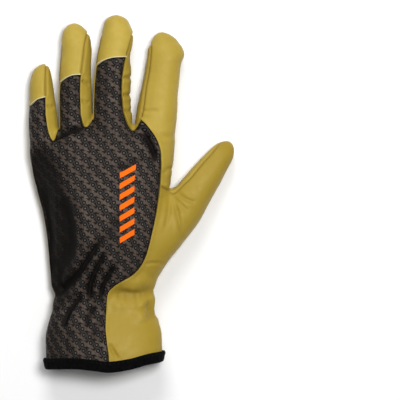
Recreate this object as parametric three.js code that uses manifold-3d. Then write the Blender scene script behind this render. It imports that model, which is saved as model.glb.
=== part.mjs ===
// A left-hand gardening glove lying on its palm: fingers along +Y, thumb towards +X, back of the hand up.
// The glove is one hollow skin, lofted finger by finger, and a knife cuts it along its seams into panels.
import * as THREE from "three";
import { mergeVertices } from "three/addons/utils/BufferGeometryUtils.js";
import Module from "manifold-3d";

const wasm = await Module();
wasm.setup();

// Driving dimensions, in millimetres
const WALL = 1.5;
const SEAM_GAP = 0.3;
const TIP_LENGTH = 14;
const BINDING_WIDTH = 7;
const BINDING_WALL = 1.2;
const FLOOR_FLAT = 0;
const FINGER_SIDES = 12;
const HAND_SIDES = 28;
const FINGER_SQUARENESS = 2.3;
const HAND_SQUARENESS = 2.5;
const BEYOND = 200;
const LEAST_VOLUME = 5;
const LEAST_HALF = 0.8;
const LIMB_START = 50;

// Where the middle of the glove's footprint lies in the tables below
const FOOTPRINT_MIDDLE = new THREE.Vector3(0.1, 0, 0);

const LEATHER = { color: 0xc4a24a, roughness: 0.55, metalness: 0 };
const FABRIC = { color: 0x38322f, roughness: 0.9, metalness: 0 };
const BINDING = { color: 0x101012, roughness: 0.85, metalness: 0 };

function table(columns, rows) {
  const names = columns.split(" ");
  return rows.map((row) => Object.fromEntries(names.map((name, i) => [name, row[i]])));
}

// The hand from cuff to knuckles: a section at y, from left to right, about the height rise, half thick each way
const HAND = table("y left right rise half", [
  [-127, -58.1, 21.9, 19.2, 18.0],
  [-99, -58.5, 21.0, 17.6, 16.8],
  [-88, -56.2, 18.9, 15.8, 15.4],
  [-79.5, -54.0, 16.8, 14.4, 14.4],
  [-72, -52.8, 15.7, 13.8, 14.2],
  [-66.5, -53.4, 16.2, 14.0, 14.6],
  [-60, -54.9, 17.8, 14.3, 15.3],
  [-51, -56.2, 20.6, 14.9, 16.4],
  [-42, -56.9, 22.6, 15.4, 17.4],
  [-29, -58.8, 24.7, 15.8, 18.4],
  [-12, -61.4, 26.0, 15.8, 18.8],
  [2, -64.5, 25.8, 15.2, 18.2],
  [16, -67.1, 26.7, 14.4, 17.2],
  [27, -68.6, 28.1, 13.4, 15.8],
  [35, -67.0, 28.4, 12.4, 13.6],
  [41, -58.0, 24.0, 11.6, 11.0],
  [45, -44.0, 12.0, 11.2, 8.2],
  [50, -34.0, -19.0, 11.0, 4.5],
]);

// Folds and dents pressed into the hand's back, each along a line, with its half width and its depth
const FOLDS = table("x1 y1 x2 y2 half deep", [
  [-49, 30, -46, -5, 8, 1.2],
  [-46, -5, -40, -33, 8, 1.6],
  [-27, -43, -30, -55, 5, 1.6],
  [-30, -55, -28, -75, 5, 2.4],
  [-51, -72, -38, -69, 5, 1.2],
  [-13, -67, 13, -66, 5, 1.8],
  [10, -82, 13, -87, 6, 2.6],
  [5, 46, 13, 36, 5, 1.6],
  [-14, -103, -9, -111, 6, 1.2],
]);

const FINGERS = {
  pinky: table("y left right rise half", [
    [8, -63.5, -50.0, 12.6, 9.0],
    [16, -65.7, -47.8, 12.8, 11.0],
    [29, -68.8, -47.1, 12.4, 11.8],
    [40, -70.3, -49.6, 11.6, 11.4],
    [50, -70.6, -50.8, 10.8, 10.8],
    [60, -70.1, -52.0, 10.0, 10.2],
    [75, -70.1, -54.1, 9.0, 9.2],
    [80, -69.0, -55.1, 8.6, 8.3],
    [84.7, -66.8, -56.3, 8.2, 6.4],
    [88.5, -61.6, -58.8, 7.9, 1.8],
  ]),
  ring: table("y left right rise half", [
    [8, -46.0, -29.0, 13.6, 10.0],
    [19, -47.8, -27.1, 13.6, 12.6],
    [45, -49.7, -27.2, 12.0, 12.0],
    [56, -49.9, -27.3, 11.2, 11.4],
    [77, -49.8, -27.7, 10.2, 10.5],
    [87.5, -49.0, -27.9, 9.8, 10.2],
    [98, -48.1, -27.4, 9.4, 9.9],
    [104, -48.0, -28.0, 9.1, 9.4],
    [110.7, -47.0, -30.1, 8.7, 7.7],
    [114.1, -44.8, -33.3, 8.4, 5.5],
    [116.5, -40.9, -37.4, 8.2, 1.8],
  ]),
  middle: table("y left right rise half", [
    [8, -24.0, -1.0, 14.2, 10.0],
    [22, -25.7, 1.2, 14.2, 13.0],
    [40, -26.5, 1.2, 13.0, 13.0],
    [52, -26.6, 0.7, 12.0, 12.2],
    [74, -26.2, -0.6, 10.8, 11.1],
    [84, -25.2, -0.2, 10.4, 10.8],
    [93, -23.8, -1.2, 10.0, 10.4],
    [103.6, -21.6, 0.4, 9.6, 10.0],
    [110, -20.2, 0.7, 9.3, 9.4],
    [115, -19.2, -1.0, 9.0, 8.2],
    [121.4, -15.4, -5.7, 8.6, 4.4],
    [122.5, -12.6, -8.8, 8.5, 2.0],
  ]),
  index: table("y left right rise half", [
    [6, 3.0, 25.0, 13.8, 10.0],
    [16, 1.9, 26.8, 14.0, 12.6],
    [33, 1.2, 29.0, 13.2, 13.0],
    [46, 2.2, 30.8, 12.2, 12.4],
    [57, 3.9, 31.6, 11.4, 11.8],
    [78.5, 8.3, 33.2, 10.2, 10.6],
    [88, 10.1, 34.2, 9.8, 10.2],
    [96, 11.5, 36.5, 9.4, 9.6],
    [100, 12.3, 35.2, 9.1, 8.9],
    [103.4, 13.8, 32.8, 8.8, 7.8],
    [109.2, 17.3, 26.4, 8.3, 3.9],
    [110.4, 19.1, 23.3, 8.2, 1.8],
  ]),
};

// The thumb's sections stand across its own axis, which starts at THUMB_ROOT; side is the shift towards its outer edge
const THUMB_ROOT = new THREE.Vector2(10.6, -49.5);
const THUMB_ANGLE = THREE.MathUtils.degToRad(54.5);
const THUMB = table("along side width rise half", [
  [0, 0, 17, 14.2, 10.5],
  [12, -2.2, 26, 14.2, 13.2],
  [25, -3.0, 29, 13.6, 13.8],
  [44.5, -1.8, 28, 12.4, 13.0],
  [59, -2.0, 24.4, 11.4, 12.0],
  [73, -2.6, 23, 10.4, 10.9],
  [84.5, -2.4, 19.2, 9.5, 9.7],
  [93.5, -1.9, 15.8, 8.7, 8.0],
  [98.5, -1.8, 11.2, 8.2, 5.8],
  [102.2, -1.8, 3.2, 7.9, 1.8],
]);

// The cuff's edge, seen from above, from the little finger's side to the thumb's
const HEM = [
  [-75, -119.8],
  [-58, -119.4],
  [-39, -118.7],
  [-26, -119.8],
  [-15, -121],
  [-1, -119.2],
  [12, -115.8],
  [21, -114.3],
  [35, -111.5],
];

// How high the side seams run, at each y: backs and side walls above, palm and finger fronts below
const SIDE_SEAM = [
  [-140, 7.5],
  [-100, 7.5],
  [-70, 7.5],
  [-40, 8.5],
  [0, 9.5],
  [35, 9],
  [60, 7.5],
  [90, 6.5],
  [130, 6],
];

// Seams over the back of the hand, as lines seen from above, each cut by an upright blade.
// A row may go on with the blade's height there, its lean towards the little finger in degrees, and how
// far it reaches inwards and outwards.
const BACK_SEAMS = {
  fabricToThumb: [
    [-14.7, -135], [-14.7, -115], [-16.2, -102], [-17.1, -93], [-16.7, -80], [-15.8, -70], [-13.1, -65.7],
    [-6.9, -61.3], [1, -56.9], [6.2, -51.6], [10.7, -42.8], [14.2, -29.6], [17.3, -15.5], [19, -5],
    [20.3, 5.4], [20.8, 14.2], [20.8, 23], [19.4, 31.8], [15.9, 39.7], [10.7, 46.8], [6.7, 50.7],
  ],
  middleToIndexValley: [[6.7, 50.7], [4.3, 46.4], [1.4, 42.8], [-1.7, 46.4], [-4.7, 53.8]],
  middleRight: [[-4.7, 53.8], [-6.1, 67], [-5.7, 80.2], [-3.4, 93.4], [-1.7, 99.9], [0, 107], [4, 118]],
  ringToMiddleValley: [[-30.9, 45.1], [-32.9, 46.8], [-34.5, 53.8]],
  middleLeft: [
    [-30.9, 45.1, 20, 0, 9, 12], [-28.4, 47.5, 18, 10, 6, 4], [-27.2, 49.5, 16.5, 40, 5, 1.5],
    ...downLeftSide(FINGERS.middle),
  ],
  ringRight: [[-34.5, 53.8], [-34.9, 71.4], [-34.3, 81.1], [-32.9, 91.6], [-31.6, 102], [-29.8, 110.3], [-27, 122]],
  pinkyToRingValley: [[-53.6, 35.7], [-56.7, 41.5], [-58.7, 53.8]],
  ringLeft: [
    [-53.6, 35.7, 20, 0, 14, 12], [-51.6, 41, 18, 10, 14, 4], [-50.4, 46, 16.5, 35, 10, 1.5],
    ...downLeftSide(FINGERS.ring),
  ],
  pinkyRight: [[-58.7, 53.8], [-58.8, 65.7], [-58.7, 77.8], [-58.4, 96]],
  pinkyFabricTop: [[-80, 55], [-69.9, 60], [-65.7, 63.3], [-63, 64.7], [-58.8, 65.7]],
  ringFabricTop: [
    [-51, 74.5, 22.7, 0, 10, 10], [-49.4, 75.8, 22.7, 0, 10, 10], [-45, 78.8, 22.7, 0, 10, 10],
    [-40.2, 80.7, 22.7, 0, 10, 10], [-34.3, 81.1, 22.7, 0, 10, 10],
  ],
  middleFabricTop: [
    [-25.8, 86.4, 22.8, 0, 10, 10], [-23.5, 88.2, 22.8, 0, 10, 10], [-18.8, 90.9, 22.8, 0, 10, 10],
    [-12.6, 92.8, 22.8, 0, 10, 10], [-3.4, 93.4, 22.8, 0, 10, 10],
  ],
  indexLeft: [[6.7, 50.7], [8.3, 58.7], [9.6, 70.8], [11.7, 82.9], [13.2, 95], [13.4, 101], [11, 108]],
  thumbToIndex: [[19, -6.9], [22.6, -8.4], [25.4, -9.8], [30, -13.5]],
};

// Over the thumb's inner edge the front wraps up on to the back: this outline, seen from above
const THUMB_WRAP = [
  [26.2, -10.6], [31.5, -1.6], [36, 1.6], [41, 6.4], [48.6, 15], [55.4, 23.3], [61, 29.6], [68, 36.5],
  [60, 60], [34, 36], [28.6, 6], [27.4, -6],
];

// Seams that show on the palm side, where the fronts of the two middle fingers are set in
const FRONT_SEAMS = {
  ringBase: [[-51, 75], [-50.4, 50], [-49.8, 38], [-44, 33], [-38, 32], [-31, 34.5], [-26.8, 41]],
  ringToMiddle: [[-26.8, 41], [-26.7, 60], [-26.9, 76], [-26.4, 90], [-25.8, 126]],
  middleBase: [[-26.8, 41], [-22, 37.6], [-14, 36.2], [-5, 36.4], [-0.5, 38.6], [1.6, 43], [2.4, 70]],
};

const vectors = (points) => points.map(([x, y]) => new THREE.Vector2(x, y));

// A closed geometry as a manifold-3d solid, and back
function solid(geometry) {
  const bare = geometry.clone();
  bare.deleteAttribute("normal");
  bare.deleteAttribute("uv");
  const merged = mergeVertices(bare, 1e-4);
  return new wasm.Manifold(
    new wasm.Mesh({
      numProp: 3,
      vertProperties: merged.attributes.position.array,
      triVerts: new Uint32Array(merged.index.array),
    }),
  );
}

function geometryOf(manifold) {
  const mesh = manifold.getMesh();
  const geometry = new THREE.BufferGeometry();
  geometry.setAttribute("position", new THREE.BufferAttribute(new Float32Array(mesh.vertProperties), 3));
  geometry.setIndex(new THREE.BufferAttribute(new Uint32Array(mesh.triVerts), 1));
  geometry.computeVertexNormals();
  return geometry;
}

// One section as a ring of points: a rounded oval across the given direction
function oval(centre, across, halfWidth, halfHeight, squareness, sides) {
  return Array.from({ length: sides }, (_, i) => {
    const turn = (2 * Math.PI * i) / sides;
    const sideways = halfWidth * rounded(Math.cos(turn), squareness);
    const up = halfHeight * rounded(Math.sin(turn), squareness);
    return new THREE.Vector3(centre.x + across.x * sideways, centre.y + across.y * sideways, centre.z + up);
  });
}

// A sine or cosine as it counts in an oval of this squareness
function rounded(value, squareness) {
  return Math.sign(value) * Math.abs(value) ** (2 / squareness);
}

// A closed skin through the rings, with a fan of triangles over each end
function skin(rings) {
  const sides = rings[0].length;
  const points = rings.flat();
  const faces = [];
  for (let r = 0; r + 1 < rings.length; r++) {
    for (let i = 0; i < sides; i++) {
      const a = r * sides + i;
      const b = r * sides + ((i + 1) % sides);
      faces.push(a, b, a + sides, b, b + sides, a + sides);
    }
  }
  [0, rings.length - 1].forEach((r, end) => {
    const middle = rings[r].reduce((sum, p) => sum.add(p), new THREE.Vector3()).divideScalar(sides);
    points.push(middle);
    for (let i = 0; i < sides; i++) {
      const a = r * sides + i;
      const b = r * sides + ((i + 1) % sides);
      faces.push(...(end ? [a, b, points.length - 1] : [b, a, points.length - 1]));
    }
  });
  const geometry = new THREE.BufferGeometry().setFromPoints(points);
  geometry.setIndex(faces);
  const made = solid(geometry);
  return made.volume() > 0 ? made : solid(geometry.setIndex(faces.reverse()));
}

// A vertical prism over an outline seen from above
function prism(outline, low = -BEYOND, high = BEYOND) {
  const geometry = new THREE.ExtrudeGeometry(new THREE.Shape(outline), { depth: high - low, bevelEnabled: false });
  return solid(geometry.translate(0, 0, low));
}

// Blade rows down a finger's side towards the little finger, on its skin and square to it; near the tip
// the line drops under the side seam
function downLeftSide(rows) {
  const tip = rows[rows.length - 1].y;
  return rows.filter((row) => row.y > LIMB_START).map(({ y, left, right, rise, half }) => {
    const turn = THREE.MathUtils.lerp(15, -50, THREE.MathUtils.smoothstep(y, tip - 18, tip - 2));
    const [across, up] = [Math.cos, Math.sin].map((f) => rounded(f(THREE.MathUtils.degToRad(turn)), FINGER_SQUARENESS));
    const halfWidth = (right - left) / 2;
    const lean = 90 - THREE.MathUtils.radToDeg(Math.atan2(half * up, halfWidth * across));
    return [(left + right) / 2 - halfWidth * across, y, rise + half * up, lean, 5, 0.3];
  });
}

// A thin blade that follows a seam line, made of upright or leaning cross-sections
function blade(rows, width = SEAM_GAP) {
  const place = ([x, y, z = 0]) => new THREE.Vector3(x, y, z);
  const rings = rows.map((row, i) => {
    const [, , , lean = 0, inward = BEYOND, outward = BEYOND] = row;
    const ahead = place(rows[Math.min(i + 1, rows.length - 1)]).sub(place(rows[Math.max(i - 1, 0)])).normalize();
    const turn = THREE.MathUtils.degToRad(lean);
    const up = new THREE.Vector3(-Math.sin(turn), 0, Math.cos(turn));
    const out = ahead.clone().cross(up).normalize().multiplyScalar(width / 2);
    const overrun = i === 0 ? -width / 2 : i === rows.length - 1 ? width / 2 : 0;
    const centre = place(row).addScaledVector(ahead, overrun);
    const corner = (side, lift) => centre.clone().addScaledVector(out, side).addScaledVector(up, lift);
    return [corner(1, outward), corner(-1, outward), corner(-1, -inward), corner(1, -inward)];
  });
  return skin(rings);
}

// How deep the folds lie at a place on the hand
function foldDepth(x, y) {
  const here = new THREE.Vector3(x, y, 0);
  const near = new THREE.Vector3();
  const depths = FOLDS.map(({ x1, y1, x2, y2, half, deep }) => {
    new THREE.Line3(new THREE.Vector3(x1, y1, 0), new THREE.Vector3(x2, y2, 0)).closestPointToPoint(here, true, near);
    return deep * Math.exp(-((near.distanceTo(here) / half) ** 2));
  });
  return Math.max(...depths);
}

// How far back a section near a tip moves on the inside of the skin, so that the tip keeps its wall
function tipSetback(place, tip, grow) {
  return grow * THREE.MathUtils.smoothstep(place, tip - TIP_LENGTH, tip);
}

// The hand, grown outwards or inwards by grow, with its folds pressed into its upper half
function handLoft(grow) {
  const rings = straightRings(HAND, grow, HAND_SQUARENESS, HAND_SIDES, false);
  rings.forEach((ring, i) => {
    const { rise, half } = HAND[i];
    ring.filter((point) => point.z > rise).forEach((point) => {
      point.z -= foldDepth(point.x, point.y) * THREE.MathUtils.smoothstep(point.z, rise, rise + half * 0.6);
    });
  });
  return skin(rings);
}

function fingerLoft(rows, grow) {
  return skin(straightRings(rows, grow, FINGER_SQUARENESS, FINGER_SIDES, true));
}

function straightRings(rows, grow, squareness, sides, hasTip) {
  const tip = rows[rows.length - 1].y;
  const across = new THREE.Vector2(1, 0);
  return rows
    .filter((row) => Math.min(row.half, (row.right - row.left) / 2) + grow > LEAST_HALF)
    .map((row) => {
      const y = row.y + (hasTip ? tipSetback(row.y, tip, grow) : 0);
      const centre = new THREE.Vector3((row.left + row.right) / 2, y, row.rise);
      return oval(centre, across, (row.right - row.left) / 2 + grow, row.half + grow, squareness, sides);
    });
}

function thumbLoft(grow) {
  const tip = THUMB[THUMB.length - 1].along;
  const ahead = new THREE.Vector2(Math.cos(THUMB_ANGLE), Math.sin(THUMB_ANGLE));
  const across = new THREE.Vector2(ahead.y, -ahead.x);
  const rings = THUMB.filter((row) => Math.min(row.half, row.width / 2) + grow > LEAST_HALF).map((row) => {
    const place = THUMB_ROOT.clone()
      .addScaledVector(ahead, row.along + tipSetback(row.along, tip, grow))
      .addScaledVector(across, row.side);
    const centre = new THREE.Vector3(place.x, place.y, row.rise);
    return oval(centre, across, row.width / 2 + grow, row.half + grow, FINGER_SQUARENESS, FINGER_SIDES);
  });
  return skin(rings);
}

// Everything the glove encloses, grown by grow and flattened where it rests on the floor
function gloveBody(grow) {
  const parts = [
    handLoft(grow),
    ...Object.values(FINGERS).map((rows) => fingerLoft(rows, grow)),
    thumbLoft(grow),
  ];
  return wasm.Manifold.union(parts).intersect(above(FLOOR_FLAT - Math.min(grow, 0)));
}

function above(height) {
  const side = BEYOND;
  return prism(vectors([[-side, -side], [side, -side], [side, side], [-side, side]]), height, BEYOND);
}

// All that lies towards the fingers from the cuff's edge, moved by shift
function pastHem(shift) {
  const edge = vectors(HEM).map((point) => point.setY(point.y + shift));
  return prism([...edge, ...vectors([[BEYOND, BEYOND], [-BEYOND, BEYOND]])]);
}

// The backs' side of the side seams, grown by spare; the thumb's wrapped edge belongs to the front
function backsRegion(spare) {
  const profile = SIDE_SEAM.map(([y, z]) => new THREE.Vector2(y, z - spare));
  const outline = new THREE.Shape([...profile, ...vectors([[BEYOND, BEYOND], [-BEYOND, BEYOND]])]);
  const slab = new THREE.ExtrudeGeometry(outline, { depth: 2 * BEYOND, bevelEnabled: false });
  slab.translate(0, 0, -BEYOND);
  slab.applyMatrix4(new THREE.Matrix4().makeBasis(
    new THREE.Vector3(0, 1, 0),
    new THREE.Vector3(0, 0, 1),
    new THREE.Vector3(1, 0, 0),
  ));
  const wrap = prism(vectors(THUMB_WRAP));
  return solid(slab).subtract(spare ? wrap.subtract(blade([...THUMB_WRAP, THUMB_WRAP[0]], 2 * spare)) : wrap);
}

// Cuts a solid along the blades and hands back the piece that lies nearest each seed
function cutPanels(whole, seams, seeds) {
  const knife = wasm.Manifold.union(Object.values(seams).map((points) => blade(points)));
  const pieces = whole.subtract(knife).decompose().filter((piece) => piece.volume() > LEAST_VOLUME);
  const nearest = (seed) => {
    const gaps = pieces.map((piece) => {
      const corners = piece.getMesh().vertProperties;
      let least = Infinity;
      for (let i = 0; i < corners.length; i += 3) {
        least = Math.min(least, Math.hypot(corners[i] - seed[0], corners[i + 1] - seed[1], corners[i + 2] - seed[2]));
      }
      return least;
    });
    return pieces[gaps.indexOf(Math.min(...gaps))];
  };
  return Object.fromEntries(Object.entries(seeds).map(([name, seed]) => [name, nearest(seed)]));
}

// The tape is folded over the cuff's edge: a channel round the skin, with the skin's own room cut out of it
function cuffBinding() {
  const clear = SEAM_GAP;
  const skinRoom = handLoft(clear).subtract(handLoft(-WALL - clear)).intersect(pastHem(-clear));
  const band = pastHem(-clear - BINDING_WALL).subtract(pastHem(BINDING_WIDTH - BINDING_WALL));
  return handLoft(clear + BINDING_WALL)
    .subtract(handLoft(-WALL - clear - BINDING_WALL))
    .intersect(band)
    .subtract(skinRoom)
    .intersect(above(FLOOR_FLAT));
}

const shell = gloveBody(0).subtract(gloveBody(-WALL)).intersect(pastHem(0));

const backPanels = cutPanels(shell.intersect(backsRegion(0)), BACK_SEAMS, {
  back_panel: [-30, 0, 33],
  cap_pinky: [-64, 75, 17],
  cap_ring: [-41, 100, 19],
  cap_middle: [-12, 108, 19],
  index_back: [22, 70, 22],
  thumb_back: [42, 0, 23],
  gusset_pinky_ring: [-54, 50, 14],
  gusset_ring_middle: [-30, 60, 16],
  gusset_middle_index: [2, 55, 14],
});
const frontPanels = cutPanels(shell.subtract(backsRegion(SEAM_GAP)), FRONT_SEAMS, {
  palm: [-20, -20, 0],
  front_ring: [-38, 80, 0],
  front_middle: [-13, 80, 0],
});

const glove = new THREE.Group();
const materials = { leather: LEATHER, fabric: FABRIC, binding: BINDING };
for (const [name, look] of Object.entries(materials)) {
  materials[name] = new THREE.MeshStandardMaterial(look);
}
for (const [name, panel] of Object.entries({ ...backPanels, ...frontPanels, cuff_binding: cuffBinding() })) {
  const look = { back_panel: materials.fabric, cuff_binding: materials.binding }[name] ?? materials.leather;
  const mesh = new THREE.Mesh(geometryOf(panel), look);
  mesh.name = name;
  glove.add(mesh);
}
glove.position.copy(FOOTPRINT_MIDDLE).negate();

export default glove;
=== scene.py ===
"""A left-hand gardening glove of soft leather with a patterned fabric back, lying palm down.

The glove's skin is the level surface of a field that blends lofted fingers, thumb and hand. It is cut
along its seams into panels, each panel gets its folds and seam edges, and then its thickness.
Tables and shapes are in millimetres; meshes are made in metres.
"""
import math

import bpy
import numpy as np
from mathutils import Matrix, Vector, kdtree, noise


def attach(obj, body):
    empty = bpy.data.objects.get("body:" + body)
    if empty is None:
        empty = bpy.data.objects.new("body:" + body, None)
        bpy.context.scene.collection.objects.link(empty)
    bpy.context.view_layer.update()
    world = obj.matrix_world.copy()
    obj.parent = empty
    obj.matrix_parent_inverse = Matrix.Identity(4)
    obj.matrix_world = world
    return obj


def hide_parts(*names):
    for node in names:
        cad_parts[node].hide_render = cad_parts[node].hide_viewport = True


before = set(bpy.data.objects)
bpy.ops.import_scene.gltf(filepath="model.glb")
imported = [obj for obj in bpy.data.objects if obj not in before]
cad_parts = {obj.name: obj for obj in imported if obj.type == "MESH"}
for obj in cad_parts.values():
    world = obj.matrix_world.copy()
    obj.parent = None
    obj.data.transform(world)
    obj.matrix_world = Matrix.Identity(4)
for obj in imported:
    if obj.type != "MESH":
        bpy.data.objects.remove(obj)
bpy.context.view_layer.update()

MM = 0.001
# The tables' own place for the middle of the footprint, which is the frame's origin
FOOTPRINT_MIDDLE = np.array([0.1, 0.0, 0.0])
WALL = 1.3
GRID = 0.9
# The power of the sections' ovals: 2 is an ellipse, and more is squarer
HAND_SQUARENESS = 2.5
FINGER_SQUARENESS = 2.3
# How far from each other two forms start to flow together
FINGER_BLEND = 5.0
THUMB_BLEND = 7.0
FLOOR_ROUNDING = 2.5
# The corners of the grid
GRID_LOW = np.array([-78.0, -130.0, -3.0])
GRID_HIGH = np.array([78.0, 128.0, 44.0])

# Sections from cuff to knuckles: y, left, right, rise of the middle, half thickness
HAND_ROWS = [
    (-130, -58.1, 21.9, 19.4, 18.1),
    (-110, -58.3, 21.6, 18.6, 17.4),
    (-99, -58.5, 21, 17.6, 16.8),
    (-88, -56.2, 18.9, 15.8, 15.4),
    (-79.5, -54, 16.8, 14.4, 14.4),
    (-72, -52.8, 15.7, 13.8, 14.2),
    (-66.5, -53.4, 16.2, 14, 14.6),
    (-60, -54.9, 17.8, 14.3, 15.3),
    (-51, -56.2, 20.6, 14.9, 16.4),
    (-42, -56.9, 22.6, 15.4, 17.4),
    (-29, -58.8, 24.7, 15.8, 18.4),
    (-12, -61.4, 26, 15.8, 18.8),
    (2, -64.5, 25.8, 15.2, 18.2),
    (16, -67.1, 26.7, 14.4, 17.2),
    (27, -68.6, 28.1, 13.4, 15.8),
    (35, -67, 28.4, 12.4, 13.6),
    (41, -58, 24, 11.6, 11),
    (45, -44, 12, 11.2, 8.2),
    (50, -34, -19, 11, 4.5),
    (51.5, -27, -26, 11, 0.3),
]

# The same for each finger, up to its tip
FINGER_ROWS = {
    "pinky": [
        (8, -63.5, -50, 12.6, 9),
        (16, -65.7, -47.8, 12.8, 11),
        (29, -68.8, -47.1, 12.4, 11.8),
        (40, -70.3, -49.4, 11.6, 11.4),
        (50, -70.6, -50.6, 10.8, 10.8),
        (60, -70.2, -51.9, 10, 10.2),
        (69, -70.3, -53.2, 9.4, 9.7),
        (75, -70, -54.1, 9, 9.2),
        (80, -69, -55.1, 8.6, 8.3),
        (84.7, -66.9, -56.4, 8.2, 6.4),
        (88.7, -60.3, -60.1, 7.9, 0.2),
    ],
    "ring": [
        (8, -46, -29, 13.6, 10),
        (19, -47.8, -27.1, 13.6, 12.6),
        (33, -48.8, -27, 13, 12.8),
        (45, -49.7, -27.1, 12, 12),
        (56, -50, -27.1, 11.2, 11.4),
        (66, -50.3, -27.2, 10.6, 10.9),
        (77, -49.9, -27.5, 10.2, 10.5),
        (87.5, -49, -27.8, 9.8, 10.2),
        (98, -48.1, -27.4, 9.4, 9.9),
        (104, -48, -28, 9.1, 9.4),
        (110.7, -47, -30.1, 8.7, 7.7),
        (114.1, -44.8, -33.3, 8.4, 5.5),
        (116.8, -39.3, -39.1, 8.2, 0.2),
    ],
    "middle": [
        (8, -24, -1, 14.2, 10),
        (22, -25.7, 1.2, 14.2, 13),
        (40, -26.6, 1.2, 13, 13),
        (52, -26.6, 0.7, 12, 12.2),
        (62, -26.5, -0.8, 11.4, 11.6),
        (74, -26.2, -0.6, 10.8, 11.1),
        (84, -25.2, -0.2, 10.4, 10.8),
        (93, -23.8, -1.2, 10, 10.4),
        (103.6, -21.6, 0.4, 9.6, 10),
        (110, -20.2, 0.7, 9.3, 9.4),
        (115, -19.2, -1, 9, 8.2),
        (118.8, -18, -2.9, 8.8, 6.6),
        (122.7, -10.8, -10.6, 8.5, 0.2),
    ],
    "index": [
        (6, 3, 25, 13.8, 10),
        (16, 1.9, 26.8, 14, 12.6),
        (33, 1.2, 29, 13.2, 13),
        (46, 2.2, 30.8, 12.2, 12.4),
        (57, 3.9, 31.6, 11.4, 11.8),
        (67, 5.9, 31.9, 10.8, 11.2),
        (78.5, 8.3, 33.2, 10.2, 10.6),
        (88, 10.1, 34.2, 9.8, 10.2),
        (96, 11.5, 36.5, 9.4, 9.6),
        (100, 12.3, 35.2, 9.1, 8.9),
        (103.4, 13.8, 32.8, 8.8, 7.8),
        (106.5, 15.4, 30.4, 8.5, 6.2),
        (110.6, 21.2, 21.4, 8.2, 0.2),
    ],
}

# The thumb's sections stand across its own axis: distance along it, left, right, rise, half thickness
THUMB_ROOT = np.array([10.6, -49.5])
THUMB_ANGLE = math.radians(54.5)
THUMB_ROWS = [
    (0, -8.5, 8.5, 14.2, 10.5),
    (12, -15.2, 10.8, 14.2, 13.2),
    (25, -17.5, 11.5, 13.6, 13.8),
    (44.5, -15.8, 12.2, 12.4, 13),
    (59, -14.2, 10.2, 11.4, 12),
    (73, -13.1, 8.9, 10.4, 10.9),
    (84.5, -11.6, 7.2, 9.5, 9.7),
    (93.5, -9.8, 6, 8.7, 8),
    (98.5, -7.4, 3.8, 8.2, 5.8),
    (102.4, -1.9, -1.7, 7.9, 0.2),
]

# The cuff's edge from the little finger's side to the thumb's, seen from above
HEM = [(-75, -119.8), (-58, -119.4), (-39, -118.7), (-26, -119.8), (-15, -121), (-1, -119.2),
       (12, -115.8), (21, -114.3), (35, -111.5)]

# Height of the side seams at each y
SIDE_SEAM = [(-140, 7.5), (-100, 7.5), (-70, 7.5), (-40, 8.5), (0, 9.5), (35, 9), (60, 7.5), (90, 6.5),
             (130, 6)]

# Seam lines over the back, seen from above
FABRIC_TO_THUMB = [(-14.7, -140), (-14.7, -115), (-16.2, -102), (-17.1, -93), (-16.7, -80), (-15.8, -70),
                   (-13.1, -65.7), (-6.9, -61.3), (1, -56.9), (6.2, -51.6), (10.7, -42.8), (14.2, -29.6),
                   (17.3, -15.5), (19, -5), (20.3, 5.4), (20.8, 14.2), (20.8, 23), (19.4, 31.8), (15.9, 39.7),
                   (10.7, 46.8), (6.7, 50.7)]
MIDDLE_INDEX_VALLEY = [(6.7, 50.7), (4.3, 46.4), (1.4, 42.8), (-1.7, 46.4), (-4.7, 53.8)]
MIDDLE_RIGHT = [(-4.7, 53.8), (-6.1, 67), (-5.7, 80.2), (-3.4, 93.4), (-1.7, 99.9), (0, 107), (4, 118)]
RING_MIDDLE_VALLEY = [(-27, 49.5), (-28.8, 46.8), (-30.9, 45.1), (-32.9, 46.8), (-34.5, 53.8)]
RING_RIGHT = [(-34.5, 53.8), (-34.9, 71.4), (-34.3, 81.1), (-32.9, 91.6), (-31.6, 102), (-29.8, 110.3),
              (-27, 122)]
PINKY_RING_VALLEY = [(-50.2, 46.5), (-51.2, 39.9), (-53.6, 35.7), (-56.7, 41.5), (-58.7, 53.8)]
PINKY_RIGHT = [(-58.7, 53.8), (-58.8, 65.7), (-58.7, 77.8), (-58.4, 96)]
PINKY_FABRIC_TOP = [(-80, 55), (-69.9, 60), (-65.7, 63.3), (-63, 64.7), (-58.8, 65.7)]
RING_FABRIC_TOP = [(-51.3, 74.6), (-49.4, 75.8), (-45, 78.8), (-40.2, 80.7), (-34.3, 81.1)]
MIDDLE_FABRIC_TOP = [(-26.2, 86.2), (-23.5, 88.2), (-18.8, 90.9), (-12.6, 92.8), (-3.4, 93.4)]
INDEX_LEFT = [(6.7, 50.7), (8.3, 58.7), (9.6, 70.8), (11.7, 82.9), (13.2, 95), (13.4, 101), (11, 108)]
THUMB_TO_INDEX = [(19, 5), (21, 4.1), (23.4, 2.9), (26.4, 1.4)]
THUMB_WRAP = [(26.4, 1), (28.6, -0.4), (31.2, 1.1), (34, 3.7), (37.2, 7), (41, 10.9), (47.4, 18.9),
              (53.4, 25.6), (57.8, 30.8), (61.5, 34.6), (66, 38.8)]

# Seam lines on the palm side
RING_BASE = [(-49.8, 38), (-44, 33), (-38, 32), (-31, 34.5), (-26.8, 41)]
MIDDLE_BASE = [(-26.8, 41), (-22, 37.6), (-14, 36.2), (-5, 36.4), (-0.5, 38.6), (1.6, 43)]

# The ridge where the back turns down to the little finger's side: y, x, and how steep that flank is
FLANK_ROWS = [(45, -55, 0), (38, -52, 0), (29, -48.5, 0.4), (14, -45.5, 0.85), (0, -42, 0.95),
              (-12, -37, 0.95), (-33, -35, 0.95), (-52, -36, 0.95), (-67, -37, 0.85), (-83, -44.5, 0.75),
              (-108, -45, 0.7), (-130, -45, 0.7)]
FLANK_END, FLANK_MARGIN, FLANK_ROUNDING = 38, 4, 3.0
# The slopes and the heights over which it sets in: start, length
FLANK_SLOPES, FLANK_HEIGHTS = (0, 0.4), (10, 6)

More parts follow.
